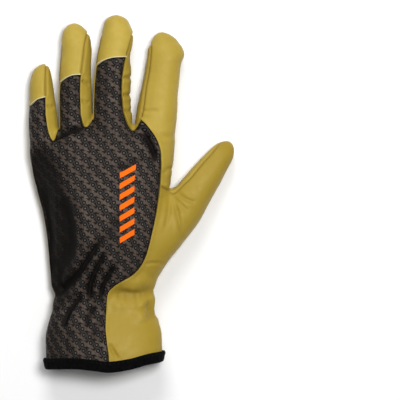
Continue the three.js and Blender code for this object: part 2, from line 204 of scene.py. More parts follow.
# Folds on the back: depth, width, then the points of the line
BACK_FOLDS = [
    (2.5, 2.0, (-53.5, 34), (-50, 38), (-44, 41), (-37, 43), (-30, 43.6)),
    (1.5, 3.0, (6, 42), (11.5, 34.5), (15, 27), (16.5, 17)),
    (1.2, 3.4, (-60, 8), (-57, -18), (-54, -44)),
    (2.4, 4.0, (-47, 0), (-43, -16), (-41, -32), (-42, -48)),
    (3.2, 2.6, (-18, -29), (-27.5, -44), (-36, -56), (-46, -66), (-56, -71.5)),
    (3.4, 2.3, (-15, -37), (-22.5, -50), (-27.5, -62), (-28.5, -78)),
    (2.6, 1.9, (-9, -48), (-15.5, -57), (-20, -67), (-22, -78)),
    (2.8, 2.3, (-30, -68), (-37.5, -75), (-44, -84), (-46.5, -95)),
    (1.6, 2.0, (-38, -70), (-46, -76), (-53, -84)),
    (1.4, 2.2, (-46, -52), (-49, -62), (-47.5, -71)),
    (1.1, 3.0, (10, 30), (4, 22), (-4, 18), (-12, 18)),
    (1.0, 4.0, (-8, -12), (-12, -26), (-18, -38)),
    (1.8, 2.0, (-23, -76), (-28, -83), (-31, -94)),
    (0.9, 2.6, (-20, -80), (-25, -92), (-27, -104)),
    (0.8, 2.4, (-40, -92), (-44, -104), (-42, -114)),
    (1.9, 1.8, (6.5, 44), (11.5, 37), (15.5, 30.5), (17.5, 22)),
    (2.3, 3.4, (-14, -67.5), (-4, -69.5), (6, -69.5), (17, -66)),
    (0.5, 1.2, (-8, -66.5), (-1, -68.5), (7, -68.8)),
    (2.6, 3.6, (9, -75), (13.5, -80), (16, -88)),
    (0.8, 1.3, (5, -79), (9.5, -82), (13, -88)),
    (0.9, 1.1, (-15.6, -102.5), (-12, -108), (-8.3, -114.5)),
    (0.45, 0.9, (9, -49), (16, -48), (24, -48.6)),
    (0.75, 1.2, (28.6, -2), (31.5, -12), (34, -25), (34.5, -35)),
    (0.7, 1.1, (31.5, -0.5), (38, -4.5), (45, -7)),
    (0.5, 1.2, (26.6, -1.5), (26, -12), (23.5, -26)),
    (0.5, 1.0, (30, -3), (35, -9), (40, -13)),
    (0.5, 1.1, (6.5, 57), (12, 56), (20, 56.8)),
    (0.6, 1.6, (12, 44), (20, 40), (28, 38)),
    (0.5, 1.4, (22, 12), (25, 16), (29, 16.5)),
    (1.1, 1.2, (-34.2, 77.5), (-31, 75.5), (-27.6, 74)),
    (0.8, 1.2, (-34.6, 64), (-31, 62), (-27.6, 62.5)),
    (1.0, 1.3, (-5.6, 79.5), (-2.6, 79), (0.5, 80)),
    (1.0, 1.3, (-6.0, 67.5), (-2.8, 67), (0.3, 68)),
    (0.9, 1.3, (-5.2, 57), (-2, 56), (1.5, 57)),
    (0.8, 1.3, (-58.5, 60), (-55, 59), (-52, 60)),
    (0.6, 1.8, (-68, 50), (-64, 47), (-59, 46)),
    (0.6, 2.0, (-46, 62), (-42, 60), (-37, 60.5)),
    (0.6, 2.0, (-23, 70), (-17, 68), (-9, 69)),
    (0.5, 2.0, (-22, 56), (-15, 53), (-8, 55)),
]

# Folds on the palm side, the same way
PALM_FOLDS = [
    (1.0, 3.0, (-8, 24), (3, 14), (17, 9)),
    (1.0, 3.0, (-58, 18), (-40, 12), (-22, 16), (-8, 24)),
    (0.9, 2.6, (24, 14), (8, 0), (2, -22), (4, -42)),
    (1.0, 1.5, (0, 41), (14, 39), (27, 35)),
    (0.9, 1.5, (-68, 38), (-60, 36), (-51, 38)),
    (0.9, 1.3, (32, 0), (40, -1), (45, -4), (48, -8)),
    (0.9, 1.5, (27, -3), (32, -9), (36, -15), (37, -22)),
    (0.7, 1.2, (35, -6), (41, -12), (44, -16)),
    (0.7, 1.3, (-49, 75), (-38, 76.5), (-28, 75)),
    (0.6, 1.2, (-49, 66), (-38, 67), (-28, 66)),
    (0.7, 1.4, (-49, 59), (-38, 60), (-28, 59)),
    (0.6, 1.2, (-24, 90), (-12, 91), (-1, 90)),
    (0.7, 1.3, (-25, 78), (-13, 79), (-1, 77)),
    (0.6, 1.2, (-26, 72), (-13, 73), (-1, 72)),
    (0.7, 1.4, (-26, 55), (-13, 56), (0, 55)),
    (0.6, 1.3, (10, 81), (22, 82), (33, 80)),
    (0.7, 1.3, (6, 66), (18, 67), (31, 65)),
    (0.6, 1.2, (5, 58), (17, 59), (31, 57)),
    (0.7, 1.4, (3, 48), (15, 49), (30, 47)),
    (0.7, 1.3, (-70, 57), (-62, 58), (-53, 57)),
    (0.9, 2.0, (-50, -68), (-30, -70), (-10, -69), (12, -67)),
    (0.7, 1.8, (-46, -76), (-25, -78), (-5, -77)),
    (0.6, 1.8, (-40, -60), (-20, -61), (0, -60)),
]


# Curves and fields
def steady_curve(xs, ys):
    """A smooth curve through the points that doesn't overshoot them, as a function."""
    xs, ys = np.asarray(xs, float), np.asarray(ys, float)
    width = np.diff(xs)
    slope = np.diff(ys) / width
    before, after = slope[:-1], slope[1:]
    w1, w2 = 2 * width[1:] + width[:-1], width[1:] + 2 * width[:-1]
    same_way = before * after > 0
    safe_before, safe_after = np.where(same_way, before, 1), np.where(same_way, after, 1)
    inner = np.where(same_way, (w1 + w2) / (w1 / safe_before + w2 / safe_after), 0)
    tangent = np.concatenate([slope[:1], inner, slope[-1:]])

    def at(x):
        x = np.clip(x, xs[0], xs[-1])
        i = np.clip(np.searchsorted(xs, x, side="right") - 1, 0, len(xs) - 2)
        t = (x - xs[i]) / width[i]
        rest = 1 - t
        return (ys[i] * rest * rest * (1 + 2 * t) + ys[i + 1] * t * t * (3 - 2 * t)
                + width[i] * t * rest * (tangent[i] * rest - tangent[i + 1] * t))

    return at


class Loft:
    """A tube of rounded oval sections, with the distance from its skin as a function."""

    def __init__(self, rows, squareness):
        along, left, right, rise, half = np.array(rows, float).T
        self.start, self.end = along[0], along[-1]
        self.middle = steady_curve(along, (left + right) / 2)
        self.width_squared = steady_curve(along, ((right - left) / 2) ** 2)
        self.half_squared = steady_curve(along, half**2)
        self.rise = steady_curve(along, rise)
        self.squareness = squareness

    def sizes(self, along):
        """Middle, half width, rise and half thickness of the section there."""
        return (self.middle(along), np.sqrt(np.maximum(self.width_squared(along), 0.01)), self.rise(along),
                np.sqrt(np.maximum(self.half_squared(along), 0.01)))

    def distance(self, along, across, up):
        n = self.squareness
        middle, width, rise, half = self.sizes(along)
        dx, dz = np.abs(across - middle) / width + 1e-6, np.abs(up - rise) / half + 1e-6
        reach = (dx**n + dz**n) ** (1 / n)
        steepness = reach ** (1 - n) * np.hypot(dx ** (n - 1) / width, dz ** (n - 1) / half)
        flat = (reach - 1) / steepness
        beyond = np.maximum(np.maximum(self.start - along, along - self.end), 0)
        return np.where(beyond > 0, np.hypot(np.maximum(flat, 0), beyond), flat)


HAND = Loft(HAND_ROWS, HAND_SQUARENESS)
FINGERS = {name: Loft(rows, FINGER_SQUARENESS) for name, rows in FINGER_ROWS.items()}
THUMB = Loft(THUMB_ROWS, FINGER_SQUARENESS)
FINGER_PAIRS = [("pinky", "ring"), ("ring", "middle"), ("middle", "index")]
HEM_CURVE = steady_curve(*np.array(HEM).T)


def thumb_place(x, y):
    """How far along the thumb's axis, and how far towards its outer edge, a point lies."""
    dx, dy = x - THUMB_ROOT[0], y - THUMB_ROOT[1]
    c, s = math.cos(THUMB_ANGLE), math.sin(THUMB_ANGLE)
    return dx * c + dy * s, dx * s - dy * c


def smooth_min(a, b, rounding):
    """The lesser of two values, rounded off where they are closer than the rounding."""
    overlap = np.maximum(rounding - np.abs(a - b), 0) / rounding
    return np.minimum(a, b) - overlap**2 * rounding / 4


def glove_distance(x, y, z):
    """Distance from the glove's skin, negative inside."""
    hand = HAND.distance(y, x, z)
    along, out = thumb_place(x, y)
    body = smooth_min(hand, THUMB.distance(along, out, z), THUMB_BLEND)
    for finger in FINGERS.values():
        body = np.minimum(body, smooth_min(hand, finger.distance(y, x, z), FINGER_BLEND))
    return -smooth_min(-body, z, FLOOR_ROUNDING)


def distance_at(p):
    return glove_distance(*p.T)


def gradient(p, step=0.05):
    slopes = [(distance_at(p + e) - distance_at(p - e)) / (2 * step) for e in np.eye(3) * step]
    return np.stack(slopes, axis=-1)


def project(p, rounds=3):
    """Moves points on to the skin, and hands back its outward direction there too."""
    for _ in range(rounds):
        g = gradient(p)
        size = np.maximum((g**2).sum(-1, keepdims=True), 0.05)
        p = p - np.clip(distance_at(p)[:, None] * g / size, -1, 1)
    g = gradient(p)
    return p, g / np.maximum(np.linalg.norm(g, axis=-1, keepdims=True), 1e-6)


def ramp(value, start, length):
    """0 up to the start, 1 from a length further on, and smooth between them."""
    t = np.clip((value - start) / length, 0, 1)
    return t * t * (3 - 2 * t)


def bump_at(d, where, width):
    """A smooth hill, 1 where d is at that place."""
    return np.exp(-(((d - where) / width) ** 2))


def blend(a, b, t):
    return a + (b - a) * t


def unit(vectors):
    return vectors / np.linalg.norm(vectors, axis=-1, keepdims=True)


def finger_gaps(y):
    """The x of the middle of each gap between neighbouring fingers."""
    gaps = []
    for left, right in FINGER_PAIRS:
        left_middle, left_width, _, _ = FINGERS[left].sizes(y)
        right_middle, right_width, _, _ = FINGERS[right].sizes(y)
        gaps.append((left_middle + left_width + right_middle - right_width) / 2)
    return gaps


# How much finer the grid is across a finger gap, how far to each side, and over which y that sets in
GAP_STRETCH, GAP_REACH, GAP_FADE = 0.72, 3.0, (34, 8)


def from_stretched(x, y):
    """The real x of a grid point: the grid is stretched so that the finger gaps are wide in it."""
    amount = ramp(y, *GAP_FADE)
    result = x
    for order, gap in enumerate(finger_gaps(y)):
        centre = gap + (order - 1) * 2 * GAP_STRETCH * GAP_REACH * amount
        result = result - amount * GAP_STRETCH * GAP_REACH * np.tanh((x - centre) / GAP_REACH)
    return result


# From field to mesh
def surface_net(low, high, step):
    """Vertices and quads of the field's zero surface, one vertex for each grid cell that it crosses."""
    counts = np.ceil((high - low) / step).astype(int)
    x, y, z = (low[i] + step * np.arange(counts[i] + 1) for i in range(3))
    x, y, z = x[:, None, None], y[None, :, None], z[None, None, :]
    value = glove_distance(from_stretched(x, y), y, z)
    inside = value < 0
    corners = [(i, j, k) for i in (0, 1) for j in (0, 1) for k in (0, 1)]
    shape = tuple(n - 1 for n in value.shape)
    count = sum(inside[i:i + shape[0], j:j + shape[1], k:k + shape[2]].astype(int) for i, j, k in corners)
    cells = np.argwhere((count > 0) & (count < 8))
    index = np.full(shape, -1)
    index[tuple(cells.T)] = np.arange(len(cells))

    total, hits = np.zeros((len(cells), 3)), np.zeros(len(cells))
    for a in corners:
        for axis in range(3):
            if a[axis]:
                continue
            b = tuple(v + (i == axis) for i, v in enumerate(a))
            pa, pb = cells + a, cells + b
            va, vb = value[tuple(pa.T)], value[tuple(pb.T)]
            crosses = (va < 0) != (vb < 0)
            t = np.where(crosses, va / np.where(va == vb, 1, va - vb), 0)[:, None]
            total += np.where(crosses[:, None], pa + t * (pb - pa), 0)
            hits += crosses
    vertices = low + step * total / hits[:, None]
    vertices[:, 0] = from_stretched(vertices[:, 0], vertices[:, 1])

    quads = []
    for axis in range(3):
        u, v = (axis + 1) % 3, (axis + 2) % 3
        here = [slice(1, -1)] * 3
        here[axis] = slice(0, -1)
        there = list(here)
        there[axis] = slice(1, None)
        first = inside[tuple(here)]
        changes = np.argwhere(first != inside[tuple(there)])
        leaving = first[tuple(changes.T)]
        base = changes + [0 if i == axis else 1 for i in range(3)]
        ring = []
        for du, dv in ((-1, -1), (0, -1), (0, 0), (-1, 0)):
            cell = base.copy()
            cell[:, u] += du
            cell[:, v] += dv
            ring.append(index[tuple(cell.T)])
        ring = np.stack(ring, axis=1)
        quads.append(np.where(leaving[:, None], ring, ring[:, ::-1]))
    return vertices, np.concatenate(quads)


RELAX_SHARE = 0.6
# A cut this close to a point goes through it
CUT_SNAP = 0.06
# For each choice of halved edges, as a binary number: how far to turn a triangle for them to come first
HALVING_TURNS = {1: 0, 2: 1, 4: 2, 3: 0, 6: 1, 5: 2}


def relaxed(vertices, quads, rounds=3):
    """Evens out the vertices over the skin."""
    a, b = quads.ravel(), np.roll(quads, -1, axis=1).ravel()
    count = len(vertices)
    number = np.bincount(np.concatenate([a, b]), minlength=count)[:, None]
    for _ in range(rounds):
        total = np.stack([np.bincount(a, column[b], count) + np.bincount(b, column[a], count)
                          for column in vertices.T], 1)
        vertices, _ = project(blend(vertices, total / number, RELAX_SHARE), 1)
    return vertices


def merge_points(points):
    """The points with those in the same place as one, and where each has gone."""
    merged, where = np.unique(np.round(points, 6), axis=0, return_inverse=True)
    return merged, where.ravel()


def without_slivers(triangles):
    a, b, c = triangles.T
    return triangles[(a != b) & (b != c) & (c != a)]


class Patch:
    """Part of the skin: points and the triangles between them."""

    def __init__(self, points, triangles):
        used, flat = np.unique(triangles, return_inverse=True)
        self.points, self.triangles = points[used], flat.reshape(-1, 3)

    def split(self, g):
        """The part where g is above 0, and the rest, cut along g = 0."""
        g = np.where(np.abs(g) < CUT_SNAP, 0, g)
        sign = np.sign(g)[self.triangles]
        above = (sign.min(1) >= 0) & (sign.max(1) > 0)
        below = sign.max(1) <= 0
        mixed = ~(above | below)
        corners, signs = self.triangles[mixed], sign[mixed]
        points, fresh = self.points, []

        def turned(which, rows):
            order = (np.argmax(which, axis=1)[:, None] + np.arange(3)) % 3
            return np.take_along_axis(rows, order, 1)

        def cut(a, b):
            start, end = np.minimum(a, b), np.maximum(a, b)
            t = (g[start] / (g[start] - g[end]))[:, None]
            fresh.append(points[start] * (1 - t) + points[end] * t)
            first = len(points) + sum(len(f) for f in fresh[:-1])
            return first + np.arange(len(a))

        ups, downs = [self.triangles[above]], [self.triangles[below]]
        through = (signs == 0).any(1)
        c, s = corners[through], signs[through]
        if len(c):
            c, s = turned(s == 0, c), turned(s == 0, s)
            m = cut(c[:, 1], c[:, 2])
            near, far = np.stack([c[:, 0], c[:, 1], m], 1), np.stack([c[:, 0], m, c[:, 2]], 1)
            up = (s[:, 1] > 0)[:, None]
            ups.append(np.where(up, near, far))
            downs.append(np.where(up, far, near))
        c, s = corners[~through], signs[~through]
        if len(c):
            lone = s * s.sum(1, keepdims=True) < 0
            c, s = turned(lone, c), turned(lone, s)
            m, k = cut(c[:, 0], c[:, 1]), cut(c[:, 0], c[:, 2])
            tip = np.stack([c[:, 0], m, k], 1)
            base = np.concatenate([np.stack([m, c[:, 1], c[:, 2]], 1), np.stack([m, c[:, 2], k], 1)])
            up = s[:, 0] > 0
            both = np.concatenate([up, up])
            ups += [tip[up], base[~both]]
            downs += [tip[~up], base[both]]
        merged, where = merge_points(np.concatenate([points] + fresh))
        return [Patch(merged, without_slivers(where[np.concatenate(side)])) for side in (ups, downs)]

    def edges(self):
        """The edges of every triangle, in its own direction."""
        return np.concatenate([self.triangles[:, ends] for ends in ([0, 1], [1, 2], [2, 0])])

    def rim(self):
        """The edges with one triangle, in its direction."""
        edges = self.edges()
        _, first, number = np.unique(np.sort(edges, axis=1), axis=0, return_index=True, return_counts=True)
        return edges[first[number == 1]]

    def refined(self, near):
        """Halves the edges whose two ends are both near."""
        unique, inverse = np.unique(np.sort(self.edges(), axis=1), axis=0, return_inverse=True)
        marked = near[unique].all(1)
        number = np.where(marked, len(self.points) + np.cumsum(marked) - 1, -1)
        middles = self.points[unique[marked]].mean(1)
        m = number[inverse.ravel()].reshape(3, -1).T
        result = []
        for i in range(8):
            pattern = [bool(i & 1), bool(i & 2), bool(i & 4)]
            rows = ((m >= 0) == pattern).all(1)
            a, b, c = self.triangles[rows].T
            p, q, r = m[rows].T
            if sum(pattern) == 0:
                new = [(a, b, c)]
            elif sum(pattern) == 3:
                new = [(a, p, r), (p, b, q), (r, q, c), (p, q, r)]
            else:
                shift = HALVING_TURNS[i]
                ring, mids = [a, b, c], [p, q, r]
                a, b, c = ring[shift:] + ring[:shift]
                p, q, r = mids[shift:] + mids[:shift]
                new = [(a, p, c), (p, b, c)] if sum(pattern) == 1 else [(a, p, c), (p, b, q), (p, q, c)]
            result += [np.stack(t, 1) for t in new]
        return Patch(np.concatenate([self.points, middles]), np.concatenate(result))


def parts(patch):
    """The patch's separate parts, the largest first."""
    group, before = np.arange(len(patch.points)), None
    while before is None or (group != before).any():
        before = group
        low = group[patch.triangles].min(1)
        group = group.copy()
        for corner in patch.triangles.T:
            np.minimum.at(group, corner, low)
        group = group[group]
    owner = group[patch.triangles[:, 0]]
    names, counts = np.unique(owner, return_counts=True)
    return [Patch(patch.points, patch.triangles[owner == name]) for name in names[np.argsort(-counts)]]


def joined(a, b):
    points, where = merge_points(np.concatenate([a.points, b.points]))
    return Patch(points, without_slivers(where[np.concatenate([a.triangles, b.triangles + len(a.points)])]))


def give_scraps_away(panels):
    """Gives each separate scrap of a panel to the panel that it touches most."""
    scraps = []
    for name in panels:
        panels[name], *rest = parts(panels[name])
        scraps += rest
    held = {name: set(map(tuple, np.round(patch.points, 4))) for name, patch in panels.items()}
    for scrap in scraps:
        own = set(map(tuple, np.round(scrap.points, 4)))
        best = max(panels, key=lambda name: len(held[name] & own))
        panels[best] = joined(panels[best], scrap)


# Lines seen from above
def curve_through(points, steps=5):
    """A smooth line through the points."""
    p = np.array(points, float)
    ends = np.concatenate([[2 * p[0] - p[1]], p, [2 * p[-1] - p[-2]]])
    t = np.arange(steps)[:, None] / steps
    pieces = []
    for a, b, c, d in zip(ends, ends[1:], ends[2:], ends[3:]):
        square, cube = 2 * a - 5 * b + 4 * c - d, 3 * b - 3 * c + d - a
        pieces.append(0.5 * (2 * b + (c - a) * t + square * t**2 + cube * t**3))
    return np.concatenate(pieces + [p[-1:]])


def outline(*lines):
    """One closed outline out of smooth lines and single corners."""
    return np.concatenate([curve_through(line) if len(line) > 2 else np.array(line, float) for line in lines])


def line_distance(p, line, closed=False):
    """Distance from a line, how far along it the nearest point lies, and the line's length."""
    best, place, run = np.full(len(p), np.inf), np.zeros(len(p)), 0.0
    for start, end in zip(line, np.roll(line, -1, axis=0) if closed else line[1:]):
        d = end - start
        size = np.hypot(*d)
        if size == 0:
            continue
        t = np.clip(((p - start) @ d) / size**2, 0, 1)
        gap = np.hypot(*(p - start - t[:, None] * d).T)
        closer = gap < best
        best = np.where(closer, gap, best)
        place = np.where(closer, run + t * size, place)
        run += size
    return best, place, run


def inside_distance(p, polygon):
    """Distance from the outline, above 0 inside it."""
    best, _, _ = line_distance(p, polygon, closed=True)
    inside = np.zeros(len(p), bool)
    x, y = p.T
    for (x1, y1), (x2, y2) in zip(polygon, np.roll(polygon, -1, axis=0)):
        if y1 != y2:
            inside ^= ((y >= y1) != (y >= y2)) & (x < x1 + (y - y1) / (y2 - y1) * (x2 - x1))
    return np.where(inside, best, -best)


# Folds
# How far a fold reaches in widths, over what share of its length its ends fade, and what is left there
FOLD_REACH, FOLD_FADE, FOLD_END = 5, 0.3, 0.12
# The swelling beside a fold: its height for each depth, its place and its width for each width
SHOULDER_HEIGHT, SHOULDER_PLACE, SHOULDER_WIDTH = 0.38, 2.3, 1.2
# Unevenness of the skin: depth, size, seed, and how much narrower it is along x, y and z
SKIN_WAVES = [(0.5, 30, 1, (1, 1, 1)), (0.14, 12, 2, (1, 0.7, 1)), (0.04, 5, 3, (1, 1, 1))]
CREASE_DEPTH, CREASE_SHARPNESS, CREASE_WAVES = 0.10, 5, (12, 4, (0.6, 1.2, 1))
# The heights over the side seams where the palm's folds give way to the back's: start, length
SIDE_FADE = (-1, 4)
# The elastic gathers: depth, middle and half width along the glove
GATHER_DEPTH, GATHER_Y, GATHER_REACH, GATHER_WAVES = 0.7, -70, 13, (7, 5, (2.2, 0.45, 1))
# How much of the folds is left where the skin faces the floor
FLOOR_FACING, FLOOR_SHARE = -0.9, 0.8


def fold_push(p, side, folds):
    """How far the folds push the skin out at each point; they count where side is 1."""
    push = np.zeros(len(p))
    for depth, width, *points in folds:
        line = curve_through(points)
        low, high = line.min(0) - FOLD_REACH * width, line.max(0) + FOLD_REACH * width
        near = (side > 0) & (p[:, :2] > low).all(1) & (p[:, :2] < high).all(1)
        if not near.any():
            continue
        d, place, length = line_distance(p[near, :2], line)
        fade = ramp(np.minimum(place, length - place) / (FOLD_FADE * length), -FOLD_END, 1)
        shoulder = SHOULDER_HEIGHT * bump_at(d, SHOULDER_PLACE * width, SHOULDER_WIDTH * width)
        push[near] += depth * fade * (shoulder - bump_at(d, 0, width)) * side[near]
    return push


def waves(p, size, seed, stretch=(1, 1, 1)):
    """Soft noise between about -1 and 1 over the points, with features of that size."""
    offset = Vector((seed * 17.3, seed * 5.1, seed * 9.7))
    return np.array([noise.noise(Vector(q) / size + offset) for q in p * stretch])


def height_over_seam(p):
    return p[:, 2] - np.interp(p[:, 1], *np.array(SIDE_SEAM).T)


def skin_push(p, normal, creasing):
    """All the folds and unevenness of the skin, along its outward direction."""
    back = ramp(height_over_seam(p), *SIDE_FADE)
    push = fold_push(p, back, BACK_FOLDS) + fold_push(p, 1 - back, PALM_FOLDS)
    for depth, *wave in SKIN_WAVES:
        push += depth * waves(p, *wave)
    creases = np.maximum(1 - CREASE_SHARPNESS * np.abs(waves(p, *CREASE_WAVES)), 0)
    push -= CREASE_DEPTH * creasing * creases**2
    push += GATHER_DEPTH * bump_at(p[:, 1], GATHER_Y, GATHER_REACH) * waves(p, *GATHER_WAVES)
    return push * np.where(normal[:, 2] < FLOOR_FACING, FLOOR_SHARE, 1)


# Panels
# A finger's left gusset reaches this many degrees up its side, and dives by so many near the tip
LIMB_TOP, LIMB_DIVE, DIVE_FADE = 15, 65, (-18, 16)
# How far it reaches to the left: widths of the finger, and more
LIMB_REACH, LIMB_MARGIN = 1.06, 0.6


def left_limb(finger, start):
    """Above 0 on the gusset that runs down a finger's side towards the little finger."""
    loft = FINGERS[finger]

    def g(p):
        x, y, z = p.T
        middle, width, rise, half = loft.sizes(y)
        turn = np.radians(LIMB_TOP - LIMB_DIVE * ramp(y - loft.end, *DIVE_FADE))
        top = rise + half * np.sign(turn) * np.abs(np.sin(turn)) ** (2 / FINGER_SQUARENESS)
        left = middle - LIMB_REACH * width - LIMB_MARGIN
        return np.minimum.reduce([top - z, middle - x, x - left, y - start])

    return g


def gap_line(a, b, low, high):
    """The middle line of the gap between two neighbouring fingers."""
    ys = np.linspace(low, high, 6)
    return list(zip(finger_gaps(ys)[FINGER_PAIRS.index((a, b))], ys))


def flipped(line):
    return list(line)[::-1]


FABRIC = outline(
    [(-90, -140)], FABRIC_TO_THUMB, MIDDLE_INDEX_VALLEY, MIDDLE_RIGHT[:4], flipped(MIDDLE_FABRIC_TOP),
    flipped(gap_line("ring", "middle", 50.5, 85)), RING_MIDDLE_VALLEY, RING_RIGHT[:3],
    flipped(RING_FABRIC_TOP), flipped(gap_line("pinky", "ring", 48, 74)), PINKY_RING_VALLEY,
    PINKY_RIGHT[:2], flipped(PINKY_FABRIC_TOP), [(-90, 50)],
)
PINKY_RING = outline(flipped(PINKY_RING_VALLEY), [(-50.4, 60), (-51.2, 74.6), (-52.6, 96), (-58.4, 96)],
                     flipped(PINKY_RIGHT))
RING_MIDDLE = outline(flipped(RING_MIDDLE_VALLEY), [(-27, 60), (-26.3, 86), (-25.2, 122), (-27, 122)],
                      flipped(RING_RIGHT))
MIDDLE_INDEX = outline(MIDDLE_INDEX_VALLEY, MIDDLE_RIGHT, [(11, 118)], flipped(INDEX_LEFT))
CAP_PINKY = outline(PINKY_FABRIC_TOP, PINKY_RIGHT[1:], [(-80, 96)])
CAP_RING = outline(RING_FABRIC_TOP, RING_RIGHT[2:], [(-27, 126), (-51.2, 126)])
CAP_MIDDLE = outline(MIDDLE_FABRIC_TOP, MIDDLE_RIGHT[3:], [(4, 130), (-25, 130)])
INDEX_BACK = outline(INDEX_LEFT, [(11, 124), (40, 124)], [(40, 40), (30.5, 12)], [(27.6, 3), (27.4, 0.8)],
                     flipped(THUMB_TO_INDEX), [(10, 9), (0, 20), (0, 45)])
FRONT_RING = outline(RING_BASE, gap_line("ring", "middle", 46, 110), [(-26, 124), (-53, 124)],
                     flipped(gap_line("pinky", "ring", 44, 84)))
FRONT_MIDDLE = outline(MIDDLE_BASE, gap_line("middle", "index", 48, 106), [(6, 126), (-26, 126)],
                       flipped(gap_line("ring", "middle", 46, 110)))
WRAP = outline(THUMB_WRAP, [(60, 60), (34, 36)], [(27.6, 10)])


def seen_from_above(polygon):
    return lambda p: inside_distance(p[:, :2], polygon)


def either(*tests):
    return lambda p: np.maximum.reduce([g(p) for g in tests])


def is_back(p):
    return np.minimum(height_over_seam(p), -inside_distance(p[:, :2], WRAP))


def past_hem(p):
    return p[:, 1] - HEM_CURVE(p[:, 0])


def cut_panels():
    """The skin's panels by name, cut off it one after another."""
    points, quads = surface_net(GRID_LOW, GRID_HIGH, GRID)
    points = relaxed(points, quads)
    whole = Patch(points, np.concatenate([quads[:, :3], quads[:, [0, 2, 3]]]))
    skin, _ = whole.split(past_hem(whole.points))
    back, front = skin.split(is_back(skin.points))
    panels = {}
    for name, g in (
        ("gusset_pinky_ring", either(seen_from_above(PINKY_RING), left_limb("ring", 44))),
        ("gusset_ring_middle", either(seen_from_above(RING_MIDDLE), left_limb("middle", 48))),
        ("gusset_middle_index", seen_from_above(MIDDLE_INDEX)),
        ("back_panel", seen_from_above(FABRIC)),
        ("cap_pinky", seen_from_above(CAP_PINKY)),
        ("cap_ring", seen_from_above(CAP_RING)),
        ("cap_middle", seen_from_above(CAP_MIDDLE)),
        ("index_back", seen_from_above(INDEX_BACK)),
    ):
        panels[name], back = back.split(g(back.points))
    panels["thumb_back"] = back
    for name, polygon in (("front_ring", FRONT_RING), ("front_middle", FRONT_MIDDLE)):
        panels[name], front = front.split(inside_distance(front.points[:, :2], polygon))
    panels["palm"] = front
    give_scraps_away(panels)
    return panels


# From panels to objects
# Leather swells over the cloth's edge and sinks to other leather; height, place and width of each shape
LEATHER_RISE, LEATHER_SWELL, LEATHER_SINK = (0.45, 0.5, 1.5), (0.24, 2.4, 1.4), (0.75, 0, 0.8)
FABRIC_SINK = (0.9, 0, 1.4)
HEM_CLEARANCE = 0.6
LEAST_OUTER, LEAST_INNER = 0.02, 0.6 * WALL
# How much fine creasing the cloth has, how much of a fold a wall's inner face shows, and of a dent by a gap
FABRIC_CREASING, INNER_FOLDS, GAP_DENTS = 0.25, 0.6, 0.4
# Start and length: the calm beside a gap, the y where it sets in, and how near a seam with cloth has to be
CALM_REACH, CALM_FADE, FABRIC_EDGE = (0.8, 2.2), (40, 6), (0.25, 0.5)
# Painted shade in the colour: how dark fold valleys, seam grooves and the flank are painted, and from which
# depth on the folds and the flank are painted that dark
LEATHER_FOLD_SHADE, SEAM_GROOVE_SHADE, FLANK_SHADE = 0.55, 0.8, 0.88
LEATHER_DEPTH, FABRIC_DEPTH, FLANK_DEPTH = 2.4, 1.6, 4.5
# Where the pale line along a cap's edge by the cloth starts to end, and how softly; the line is a painted
# highlight on the rounded edge, over the paler cut edge
CREAM_HIGHLIGHT_FADE = (0.35, 0.3)
# How dark and olive each leather panel is painted, from 0 to 1: partly the colour of its piece of hide and
# partly painted shade, most on the thumb and the gussets
HIDE_AND_SHADE_TONES = {"cap_pinky": 0.2, "cap_ring": 0.1, "cap_middle": 0.05, "index_back": 0.3, "thumb_back": 0.7,
              "gusset_pinky_ring": 0.45, "gusset_ring_middle": 0.5, "gusset_middle_index": 0.5}
PALM_TONE = 0.25
SHARP_ANGLE = math.radians(50)


def seam_points(patch):
    """Points along the panel's sewn edges, so without the cuff's hem."""
    rim = patch.rim()
    a, b = patch.points[rim[:, 0]], patch.points[rim[:, 1]]
    sewn = past_hem((a + b) / 2) > HEM_CLEARANCE
    a, b = a[sewn], b[sewn]
    return np.concatenate([a, b, (a + b) / 2])


def nearest(points, targets):
    """Each point's distance from the nearest target."""
    tree = kdtree.KDTree(len(targets))
    for i, q in enumerate(targets):
        tree.insert(q, i)
    tree.balance()
    return np.array([tree.find(q)[2] for q in points])


def flank_drop(p):
    """How far the back sinks on the little finger's side, below a straight slope from its ridge."""
    x, y, z = p.T
    ys, xs, slopes = np.array(FLANK_ROWS[::-1], float).T
    ridge, slope = steady_curve(ys, xs)(y), np.interp(y, ys, slopes)
    middle, width, rise, half = HAND.sizes(y)
    reach = np.clip(np.abs(ridge - middle) / width, 0, 1) ** HAND_SQUARENESS
    top = rise + half * (1 - reach) ** (1 / HAND_SQUARENESS)
    drop = z - smooth_min(z, top - slope * (ridge - x), FLANK_ROUNDING)
    drop *= ramp(slope, *FLANK_SLOPES) * ramp(z, *FLANK_HEIGHTS)
    return np.where((x < ridge + FLANK_MARGIN) & (y < FLANK_END), drop, 0)


def gap_calm(p):
    """0 right beside a gap between two fingers, where the skin has no room to swell, and 1 elsewhere."""
    x, y, _ = p.T
    beside = np.maximum.reduce([1 - ramp(np.abs(x - gap), *CALM_REACH) for gap in finger_gaps(y)])
    return 1 - beside * ramp(y, *CALM_FADE)


def shaped(shape, d):
    height, where, width = shape
    return height * bump_at(d, where, width)


def seam_push(leather, d, by_fabric, calm):
    """How far the skin rises or sinks beside a seam that is d away."""
    if not leather:
        return -shaped(FABRIC_SINK, d)
    by_leather = shaped(LEATHER_SWELL, d) - shaped(LEATHER_SINK, d)
    push = blend(by_leather, shaped(LEATHER_RISE, d), by_fabric)
    return np.where(push > 0, push * calm, push)


def off_floor(points, least=LEAST_OUTER):
    return np.maximum(points, [-np.inf, -np.inf, least])


